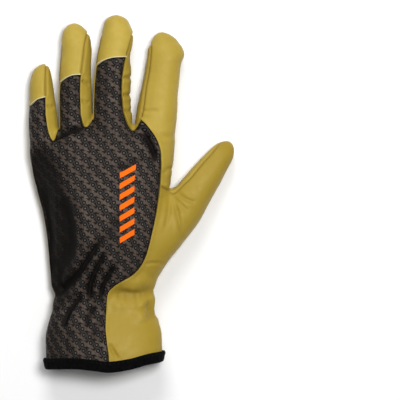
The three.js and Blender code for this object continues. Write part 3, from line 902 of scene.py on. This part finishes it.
def shell(name, patch, seam_distance, fabric_distance):
    """The panel as a closed wall, with its folds, its seam edges, and what its material needs to know."""
    leather = name != "back_panel"
    p, d, n = patch.points, seam_distance, len(patch.points)
    _, normal = project(p, 0)
    calm, drop = gap_calm(p), flank_drop(p)
    push = skin_push(p, normal, 1.0 if leather else FABRIC_CREASING)
    push *= np.where(push > 0, calm, blend(GAP_DENTS, 1, calm))
    by_fabric = 1 - ramp(fabric_distance - d, *FABRIC_EDGE)
    seam = seam_push(leather, d, by_fabric, calm)
    outer = p + normal * (push + seam)[:, None]
    inner = p + normal * (INNER_FOLDS * push + np.minimum(seam, 0) - WALL)[:, None]
    outer[:, 2] -= drop
    inner[:, 2] -= drop
    a, b = patch.rim().T
    wall = [np.stack([b, a, a + n], 1), np.stack([b, a + n, b + n], 1)]
    faces = np.concatenate([patch.triangles, patch.triangles[:, ::-1] + n, *wall])
    # Painted shade: the colour is darkened in fold valleys, in seam grooves and on the cloth's flank by the
    # little finger, where shade falls
    if leather:
        painted_shade = LEATHER_FOLD_SHADE * np.clip(-push / LEATHER_DEPTH, 0, 1)
    else:
        painted_shade = np.clip(-push / FABRIC_DEPTH, 0, 1) + FLANK_SHADE * ramp(drop, 0, FLANK_DEPTH)
    painted_shade += SEAM_GROOVE_SHADE * (1 - by_fabric * leather) * bump_at(d, 0, 0.8)
    # Painted highlight: a pale line along a cap's edge by the cloth, on top of its paler cut edge
    cream_highlight = (1 - ramp(d, *CREAM_HIGHLIGHT_FADE)) * by_fabric * name.startswith("cap_")
    return mesh_object(
        name + "_shell", np.concatenate([off_floor(outer), off_floor(inner, LEAST_INNER)]), faces.tolist(),
        {"painted_shade": np.tile(np.clip(painted_shade, 0, 1), 2), "edge": np.tile(cream_highlight, 2),
         "tone": np.full(2 * n, HIDE_AND_SHADE_TONES.get(name, PALM_TONE))},
        np.concatenate([p, p]), SHARP_ANGLE)


def add_object(name, data):
    item = bpy.data.objects.new(name, data)
    bpy.context.scene.collection.objects.link(item)
    return item


def mesh_object(name, points, faces, values=None, unfolded=None, sharp_angle=None):
    """A smooth mesh in metres, with its values by point and the place on the cloth of its unfolded points."""
    mesh = bpy.data.meshes.new(name)
    mesh.from_pydata((points - FOOTPRINT_MIDDLE) * MM, [], faces)
    for key, value in (values or {}).items():
        mesh.attributes.new(key, "FLOAT", "POINT").data.foreach_set("value", value.astype(np.float32))
    if unfolded is not None:
        data = mesh.attributes.new("flat", "FLOAT_VECTOR", "POINT").data
        data.foreach_set("vector", cloth_place(unfolded).astype(np.float32).ravel())
    mesh.update()
    mesh.shade_smooth()
    if sharp_angle:
        mesh.set_sharp_from_angle(angle=sharp_angle)
    return add_object(name, mesh)


# Start and length: the y where fingers rise over the hand, the turn from left to right, the little finger's y
FINGER_RISE, CLOTH_TURN, PINKY_FADE = (5, 40), (-40, 40), (25, 10)
SIDE_STRETCH = 0.9


def cloth_place(p):
    """Where a point lies on the flat cloth: across it, measured down the sides too, and along it."""
    x, y, z = p.T
    middle, width, rise, half = HAND.sizes(y)
    tops = []
    for finger in ("pinky", "middle"):
        _, _, finger_rise, finger_half = FINGERS[finger].sizes(y)
        tops.append(blend(rise + half, finger_rise + finger_half, ramp(y, *FINGER_RISE)))
    turn = ramp(x, *CLOTH_TURN)
    drop = np.maximum(blend(*tops, turn) - z, 0)
    pinky_middle, pinky_width, pinky_rise, _ = FINGERS["pinky"].sizes(y)
    on_finger = ramp(y, *PINKY_FADE)
    edge = blend(middle - width, pinky_middle - pinky_width, on_finger)
    under = (z < blend(rise, pinky_rise, on_finger)) & (turn < 0.5) & (x > edge)
    unrolled = np.where(under, 2 * edge - x, x) + (2 * turn - 1) * SIDE_STRETCH * drop
    return np.stack([unrolled, y, z], 1)


# The cuff's binding
HEM_POINTS, TAPE_POINTS = 900, 420
TAPE_THICKNESS, TAPE_EDGE = 1.0, 0.35
# The tape's section, from its inner edge round the hem to its outer edge: along the glove, out of the skin
TAPE_PATH = [(4.6, -2.0), (2.5, -2.1), (0.2, -2.0), (-1.1, -1.3), (-1.5, -0.3), (-1.1, 0.7), (0.2, 1.25),
             (2.0, 1.35), (4.0, 1.2), (5.1, 0.9), (5.5, 0.5)]
# How far the tape stands out at the glove's two sides: along the glove, out of the skin
TAPE_FLARE = [0, 2, 4], [-0.5, -0.3, 0.5]
PUCKERS, PUCKER_DEPTH = 60, 0.16
STITCH_STEP, STITCH_LENGTH, STITCH_RADIUS, STITCH_SIDES = 3.0, 2.1, 0.28, 6
# Where a stitch lies on the tape, out of the skin and along the glove, and how far its ends go in
STITCH_LIFT, STITCH_PLACE, STITCH_BEND = 1.62, 3.9, 0.35
# A stitch from end to end: place in half lengths, thickness
STITCH_ROWS = [(-1, 0.2), (-0.7, 0.85), (0, 1), (0.7, 0.85), (1, 0.2)]
HEM_Y, HEM_ROUNDS = -118.0, 4


def hem_loop(count):
    """Points round the hem, with their outward directions."""
    turns = np.arange(count) * 2 * math.pi / count
    cos, sin = np.cos(turns), np.sin(turns)
    power = 2 / HAND_SQUARENESS
    y = np.full(count, HEM_Y)
    for _ in range(HEM_ROUNDS):
        middle, width, rise, half = HAND.sizes(y)
        x = middle + width * np.sign(cos) * np.abs(cos) ** power
        y = HEM_CURVE(x)
    z = rise + half * np.sign(sin) * np.abs(sin) ** power
    p, normal = project(np.stack([x, y, z], 1))
    normal[:, 1] = 0
    return p, unit(normal)


def even_loop(p, normal, count):
    """The same loop with its points evenly spaced, and its length."""
    closed, turned = np.concatenate([p, p[:1]]), np.concatenate([normal, normal[:1]])
    run = np.concatenate([[0], np.cumsum(np.linalg.norm(np.diff(closed, axis=0), axis=1))])
    at = np.arange(count) * run[-1] / count
    p, normal = (np.stack([np.interp(at, run, column) for column in rows.T], 1) for rows in (closed, turned))
    return p, unit(normal), run[-1]


def ring_faces(rings, size, closed):
    """Quads between neighbouring rings of so many points, the last joined to the first if closed."""
    i = np.arange(size)
    j = (i + 1) % size
    pairs = [(k * size, (k + 1) % rings * size) for k in range(rings if closed else rings - 1)]
    return np.concatenate([np.stack([a + i, a + j, b + j, b + i], 1) for a, b in pairs])


def stitches(p, normal, push, length):
    """A row of short thread loops round the tape, near its outer edge."""
    count = round(length / STITCH_STEP)
    at = np.arange(len(p)) * count / len(p)
    turn = np.arange(STITCH_SIDES) * 2 * math.pi / STITCH_SIDES
    rings, faces = [], []
    for k in range(count):
        i = int(np.argmin(np.abs(at - k)))
        along, out = unit(p[(i + 1) % len(p)] - p[i]), normal[i]
        circle = np.outer(np.cos(turn), out) + np.outer(np.sin(turn), np.cross(along, out))
        centre = p[i] + out * (push[i] + STITCH_LIFT) + [0, STITCH_PLACE, 0]
        first = len(rings) * STITCH_SIDES
        for step, swell in STITCH_ROWS:
            middle = centre + along * step * STITCH_LENGTH / 2 - out * STITCH_BEND * step**2
            rings.append(middle + STITCH_RADIUS * swell * circle)
        faces += (first + ring_faces(len(STITCH_ROWS), STITCH_SIDES, False)).tolist()
        last = len(rings) * STITCH_SIDES
        faces += [[*range(first + STITCH_SIDES - 1, first - 1, -1)], [*range(last - STITCH_SIDES, last)]]
    return mesh_object("tape_stitches", off_floor(np.concatenate(rings)), faces)


def binding():
    """The tape round the hem, and its stitches."""
    p, normal, length = even_loop(*hem_loop(HEM_POINTS), TAPE_POINTS)
    push = skin_push(p, normal, 1.0)
    p[:, 2] -= flank_drop(p)
    path = curve_through(TAPE_PATH, 3)
    turn = unit(np.gradient(path, axis=0))
    away = np.stack([-turn[:, 1], turn[:, 0]], 1)
    thickness = np.full(len(path), TAPE_THICKNESS)
    thickness[[0, -1]] = TAPE_EDGE
    beat = np.arange(TAPE_POINTS) * 2 * math.pi * PUCKERS / TAPE_POINTS
    pucker = PUCKER_DEPTH * np.sin(beat + 2 * waves(p, 9, 8)) + 0.2 * waves(p, 6, 7)
    side = bump_at(np.abs(normal[:, 0]), 1, 0.12)

    def face(lift):
        """One face of the tape, row by row from its inner edge."""
        rows = []
        for (along, out), (away_along, away_out), thick in zip(path, away, thickness):
            soft = pucker * (0.8 if out > 0 and lift > 0 else 0.2)
            if out > 0:
                soft = soft + side * np.interp(along, *TAPE_FLARE)
            row = p + normal * (out + away_out * thick * lift + soft + push)[:, None]
            row[:, 1] = p[:, 1] + along + away_along * thick * lift
            rows.append(row)
        return rows

    rows = face(0.5) + face(-0.5)[::-1]
    points = off_floor(np.concatenate(rows))
    faces = ring_faces(len(rows), TAPE_POINTS, True).tolist()
    tape = mesh_object("cuff_binding_tape", points, faces, unfolded=points, sharp_angle=SHARP_ANGLE)
    return tape, stitches(p, normal, push, length)


# Materials
class Nodes:
    """Short ways to make and join shader nodes. Places are in millimetres, and colours are linear."""

    def __init__(self, name):
        self.material = bpy.data.materials.new(name)
        self.material.use_nodes = True
        self.nodes, self.links = self.material.node_tree.nodes, self.material.node_tree.links
        self.shader = self.nodes["Principled BSDF"]

    def join(self, value, socket):
        """Links an output, or sets a constant, with three numbers enough for a colour."""
        if isinstance(value, bpy.types.NodeSocket):
            self.links.new(value, socket)
        elif value is not None:
            socket.default_value = (*value, 1.0) if socket.type == "RGBA" else value

    def finish(self, values):
        """Gives the shader its values by socket name, and hands back the material."""
        for key, value in values.items():
            self.join(value, self.shader.inputs[key])
        return self.material

    def add(self, kind, inputs=(), out=0, **settings):
        node = self.nodes.new(kind)
        for key, value in settings.items():
            setattr(node, key, value)
        for key, value in (inputs.items() if isinstance(inputs, dict) else enumerate(inputs)):
            self.join(value, node.inputs[key])
        return node.outputs[out]

    def math(self, operation, *values):
        return self.add("ShaderNodeMath", values, operation=operation)

    def times(self, a, b):
        return self.math("MULTIPLY", a, b)

    def off_centre(self, value, step):
        """How far a value is from the nearest multiple of a step."""
        return self.math("ABSOLUTE", self.math("WRAP", value, step / 2, -step / 2))

    def wave(self, value, length):
        return self.math("SINE", self.times(value, 2 * math.pi / length))

    def attribute(self, name, out="Fac"):
        return self.add("ShaderNodeAttribute", out=out, attribute_name=name)

    def solid_place(self):
        """The point in the object."""
        metres = self.add("ShaderNodeTexCoord", out="Object")
        return self.add("ShaderNodeVectorMath", [metres, (1 / MM,) * 3], operation="MULTIPLY")

    def flat_place(self):
        """The point on the flat cloth, and its three numbers."""
        place = self.attribute("flat", "Vector")
        split = self.nodes.new("ShaderNodeSeparateXYZ")
        self.join(place, split.inputs[0])
        return place, *split.outputs

    def noise(self, place, size, detail=3.0, rough=0.5):
        inputs = {"Vector": place, "Scale": 1 / size, "Detail": detail, "Roughness": rough}
        return self.add("ShaderNodeTexNoise", inputs)

    def range(self, value, low, high, to_low=0.0, to_high=1.0):
        return self.add("ShaderNodeMapRange", [value, low, high, to_low, to_high])

    def mix(self, factor, a, b):
        node = self.nodes.new("ShaderNodeMix")
        node.data_type = "RGBA"
        for value, socket in ((factor, "Factor"), (a, 6), (b, 7)):
            self.join(value, node.inputs[socket])
        return node.outputs[2]

    def bumps(self, *layers):
        """One bump on another: height, distance in metres, strength."""
        normal = None
        for height, distance, strength in layers:
            inputs = {"Height": height, "Distance": distance, "Strength": strength, "Normal": normal}
            normal = self.add("ShaderNodeBump", inputs)
        return normal


TAN_RANGE = (0.405, 0.295, 0.048), (0.450, 0.332, 0.058)
OLIVE_TAN, MOTTLED_TAN = (0.265, 0.175, 0.012), (0.335, 0.225, 0.026)
# The brown of the painted shade in fold valleys and seam grooves, and the pale colour of the painted
# highlight on the caps' edges by the cloth
PAINTED_SHADE_BROWN, CREAM_HIGHLIGHT = (0.170, 0.105, 0.010), (0.62, 0.56, 0.33)


def leather_material():
    n = Nodes("golden_leather")
    place = n.solid_place()
    mottle = n.noise(place, 4.0, 4.0, 0.6)
    tan = n.mix(n.range(n.noise(place, 22.0), 0.35, 0.65), *TAN_RANGE)
    for factor, shade in (
        # darker, more olive panels: partly their hide, partly painted shade
        (n.attribute("tone"), OLIVE_TAN),
        (n.range(mottle, 0.35, 0.75, 0, 0.25), MOTTLED_TAN),
        # painted shade in fold valleys and seam grooves
        (n.times(n.attribute("painted_shade"), 0.75), PAINTED_SHADE_BROWN),
        # painted highlight along the caps' edges by the cloth, over their paler cut edge
        (n.attribute("edge"), CREAM_HIGHLIGHT),
    ):
        tan = n.mix(factor, tan, shade)
    grain = n.add("ShaderNodeTexVoronoi", {"Vector": place, "Scale": 1.1}, feature="SMOOTH_F1")
    wrinkle, fine = n.noise(place, 2.6, 5.0, 0.65), n.noise(place, 0.5)
    return n.finish({
        "Base Color": tan,
        "Roughness": n.range(mottle, 0.3, 0.7, 0.42, 0.58),
        "Normal": n.bumps((wrinkle, 0.00014, 0.3), (grain, 0.00008, 0.4), (fine, 0.00005, 0.35)),
        "Specular IOR Level": 0.3,
        "Specular Tint": (1.0, 0.88, 0.55),
        "Sheen Weight": 0.02,
        "Sheen Tint": (1.0, 0.85, 0.5),
    })


# The cloth's pattern repeats every DOT_STEP across, and each row is ROW_SHIFT further across than the last
ROW_STEP, ROW_SHIFT, DOT_STEP = 5.4, 5.1, 10.35
FIRST_DOT, SECOND_DOT, BOW_TIE, DOT_CHAIN = (0, 0), (4.2, -1.5), (7.6, -1.2), 1.4
DOT_REACH = 2.4
# From a dot's middle outwards: place, grey, and how much of the ground it covers
DOT_RINGS = [(0.0, 0.12, 1), (0.15, 0.09, 1), (0.32, 0.002, 1), (0.56, 0.001, 1), (0.76, 0.055, 0.8),
             (0.94, 0.002, 0.6)]
WARM_GREY = np.array([1, 0.93, 0.88])
GROUND_RANGE, GROUND_CLOUD = ((0.0022, 0.0018, 0.0017), (0.205, 0.150, 0.118)), (0.008, 0.006, 0.005)
# The second black is both the dark between the knit's loops and the painted shade in folds, seams and on the
# flank
KNIT_COLUMN, KNIT_AND_SHADE_BLACK = (0.004, 0.003, 0.003), (0.002, 0.002, 0.002)
COLUMN_STEP, WALE_STEP, COURSE_STEP = 5.4, 0.62, 0.55
# The column of slanted bars: its middle line, half width, bars, their spacing and width, and their slant
BARS_U, BARS_V, BARS_HALF_WIDTH = -1.9, -6.5, 5.5
BAR_COUNT, BAR_STEP, BAR_WIDTH, BAR_SLANT = 7, 7.4, 3.9, 0.55
ORANGE_RANGE = (0.82, 0.122, 0.001), (0.94, 0.158, 0.003)


def lattice_offset(n, u, v, place):
    """How far a point lies from the nearest repeat of a place in the cloth's pattern."""
    u, v = n.math("SUBTRACT", u, place[0]), n.math("SUBTRACT", v, place[1])
    row = n.math("ROUND", n.math("DIVIDE", v, ROW_STEP))
    dv = n.math("SUBTRACT", v, n.times(row, ROW_STEP))
    du = n.math("WRAP", n.math("ADD", u, n.times(row, ROW_SHIFT)), DOT_STEP / 2, -DOT_STEP / 2)
    return du, dv


def dot_distance(n, u, v, place):
    du, dv = lattice_offset(n, u, v, place)
    return n.math("SQRT", n.math("ADD", n.times(du, du), n.times(dv, dv)))


def cloth_ground(n, place, u, v, streak):
    """Pale streaks between the chains of dots, broken by dark bow ties."""
    across = n.math("ADD", u, n.times(v, ROW_SHIFT / ROW_STEP))
    from_chain = n.off_centre(n.math("SUBTRACT", across, DOT_CHAIN), DOT_STEP)
    du, dv = lattice_offset(n, u, v, BOW_TIE)
    bow = n.math("SUBTRACT", n.times(n.math("ABSOLUTE", du), 0.75), n.math("ABSOLUTE", dv))
    pale = n.times(n.range(from_chain, 2.3, 2.8), n.range(streak, 0.36, 0.50, 0.45, 1))
    pale = n.times(pale, n.range(bow, -1.15, -0.75, 0.06, 1))
    cloud = n.range(n.noise(place, 6.0), 0.4, 0.7, 0, 0.3)
    return n.mix(cloud, n.mix(pale, *GROUND_RANGE), GROUND_CLOUD)


def dot_ramp(n, distance):
    """The rings' colour, and how much they cover."""
    node = n.nodes.new("ShaderNodeValToRGB")
    n.join(n.range(distance, 0, DOT_REACH), node.inputs[0])
    ramp = node.color_ramp
    for position, _, _ in DOT_RINGS[2:]:
        ramp.elements.new(position)
    for stop, (position, grey, cover) in zip(ramp.elements, DOT_RINGS):
        stop.position = position
        stop.color = (*(grey * WARM_GREY), cover)
    return node.outputs


def grip_bars(n, u, v):
    """1 on the slanted rubber bars in the column that is printed on the cloth."""
    slanted = n.math("SUBTRACT", n.math("SUBTRACT", v, n.times(u, BAR_SLANT)), BARS_V)
    bar = n.range(n.off_centre(slanted, BAR_STEP), BAR_WIDTH / 2 - 0.15, BAR_WIDTH / 2 + 0.15, 1, 0)
    from_line = n.math("ABSOLUTE", n.math("SUBTRACT", u, BARS_U))
    side = n.range(from_line, BARS_HALF_WIDTH - 0.15, BARS_HALF_WIDTH + 0.15, 1, 0)
    reach = BAR_STEP * BAR_COUNT / 2
    ends = n.range(n.math("ABSOLUTE", slanted), reach - 0.1, reach + 0.1, 1, 0)
    return n.times(n.times(bar, side), ends)


def fabric_material():
    n = Nodes("patterned_knit")
    place, u, v, _ = n.flat_place()
    u = n.math("ADD", u, n.range(n.noise(place, 2.5), 0, 1, -0.5, 0.5))
    streak = n.noise(place, 1.1, 4.0, 0.6)
    dots = n.math("MINIMUM", dot_distance(n, u, v, FIRST_DOT), dot_distance(n, u, v, SECOND_DOT))
    ring, cover = dot_ramp(n, dots)
    cloth = n.mix(cover, cloth_ground(n, place, u, v, streak), ring)
    knit = n.times(n.wave(u, WALE_STEP), n.wave(v, COURSE_STEP))
    for factor, shade in (
        (n.range(n.off_centre(u, COLUMN_STEP), 0, 0.5, 0.45, 0), KNIT_COLUMN),
        (n.range(knit, -1, 1, 0.3, 0), KNIT_AND_SHADE_BLACK),
        # painted shade in fold valleys, seam grooves and on the flank
        (n.times(n.attribute("painted_shade"), 0.96), KNIT_AND_SHADE_BLACK),
    ):
        cloth = n.mix(factor, cloth, shade)
    bars, fuzz = grip_bars(n, u, v), n.noise(place, 0.35, 2.0)
    rough = n.range(cloth, 0.003, 0.05, 0.74, 0.37)
    return n.finish({
        "Base Color": n.mix(bars, cloth, n.mix(n.range(streak, 0.3, 0.7), *ORANGE_RANGE)),
        "Roughness": n.math("MAXIMUM", rough, n.times(bars, 0.7)),
        "Normal": n.bumps((knit, 0.00004, 0.35), (fuzz, 0.00002, 0.3), (bars, 0.0003, 0.8)),
        "Specular IOR Level": 0.15,
        "Specular Tint": (1.0, 0.86, 0.76),
    })


TAPE_RANGE, TAPE_GROOVE = ((0.0016, 0.0016, 0.0018), (0.004, 0.004, 0.0044)), (0.001, 0.001, 0.001)
THREAD_RANGE = (0.003, 0.003, 0.0033), (0.008, 0.008, 0.008)


def tape_material():
    n = Nodes("black_tape")
    place, x, y, z = n.flat_place()
    weave = n.times(n.wave(n.math("ADD", x, z), 0.7), n.wave(y, 0.6))
    dust = n.noise(place, 3.0, 4.0)
    return n.finish({
        "Base Color": n.mix(n.range(weave, -1, 1, 0.4, 0), n.mix(n.range(dust, 0.4, 0.7), *TAPE_RANGE),
                            TAPE_GROOVE),
        "Roughness": n.range(dust, 0.3, 0.7, 0.62, 0.8),
        "Normal": n.bumps((weave, 0.00015, 0.7)),
        "Specular IOR Level": 0.04,
    })


def thread_material():
    n = Nodes("black_thread")
    fibre = n.noise(n.solid_place(), 0.15)
    return n.finish({
        "Base Color": n.mix(fibre, *THREAD_RANGE),
        "Roughness": n.range(fibre, 0.3, 0.7, 0.45, 0.6),
        "Normal": n.bumps((fibre, 0.00006, 0.6)),
        "Specular IOR Level": 0.1,
    })


# The glove
SEAM_DETAIL_REACH = 2.6


def make_glove():
    panels = cut_panels()
    seams = {name: seam_points(patch) for name, patch in panels.items()}
    leather, fabric = leather_material(), fabric_material()
    for name, patch in panels.items():
        patch = patch.refined(nearest(patch.points, seams[name]) < SEAM_DETAIL_REACH)
        own = nearest(patch.points, seams[name])
        by_fabric = nearest(patch.points, seams["back_panel"]) if name != "back_panel" else own
        piece = shell(name, patch, own, by_fabric)
        piece.data.materials.append(fabric if name == "back_panel" else leather)
        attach(piece, "root")
        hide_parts(name)
    for piece, material in zip(binding(), (tape_material(), thread_material())):
        piece.data.materials.append(material)
        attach(piece, "root")
        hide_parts("cuff_binding")


# The studio, in metres
CAMERA_HEIGHT, FRAME_WIDTH, FRAME_MIDDLE = 2.5, 0.276, (0.0473, -0.005)
GLOVE_HEIGHT = 0.01
FLOOR_REACH, FLOOR_GREY, FLOOR_ROUGHNESS = 3.0, (0.9, 0.9, 0.9), 0.9
# The area lights, which face the glove: name, place, size, power
LIGHTS = [
    ("overhead_light", (0.25, 0.15, 1.2), 0.35, 11.5),
    ("far_light", (-0.1, 0.95, 0.9), 0.6, 9.0),
    ("near_light", (0.3, -1.0, 0.8), 0.6, 0.8),
]
SKY_STRENGTH = 0.14


def make_studio():
    scene = bpy.context.scene
    camera_data = bpy.data.cameras.new("camera")
    camera_data.lens = camera_data.sensor_width * (CAMERA_HEIGHT - GLOVE_HEIGHT) / FRAME_WIDTH
    camera = add_object("camera", camera_data)
    camera.location = (*FRAME_MIDDLE, CAMERA_HEIGHT)
    scene.camera = camera

    mesh = bpy.data.meshes.new("floor")
    corners = [(-1, -1), (1, -1), (1, 1), (-1, 1)]
    mesh.from_pydata([(x * FLOOR_REACH, y * FLOOR_REACH, 0) for x, y in corners], [], [(0, 1, 2, 3)])
    floor = add_object("floor", mesh)
    pale = Nodes("pale_floor").finish({"Base Color": FLOOR_GREY, "Roughness": FLOOR_ROUGHNESS})
    mesh.materials.append(pale)

    for name, place, size, power in LIGHTS:
        data = bpy.data.lights.new(name, "AREA")
        data.size = size
        data.energy = power
        light = add_object(name, data)
        light.location = place
        light.rotation_euler = (-Vector(place)).to_track_quat("-Z", "Y").to_euler()
    world = bpy.data.worlds.new("studio")
    world.use_nodes = True
    sky = world.node_tree.nodes["Background"]
    sky.inputs["Color"].default_value = (1, 1, 1, 1)
    sky.inputs["Strength"].default_value = SKY_STRENGTH
    scene.world = world
    scene.view_settings.view_transform = "Standard"


make_glove()
make_studio()
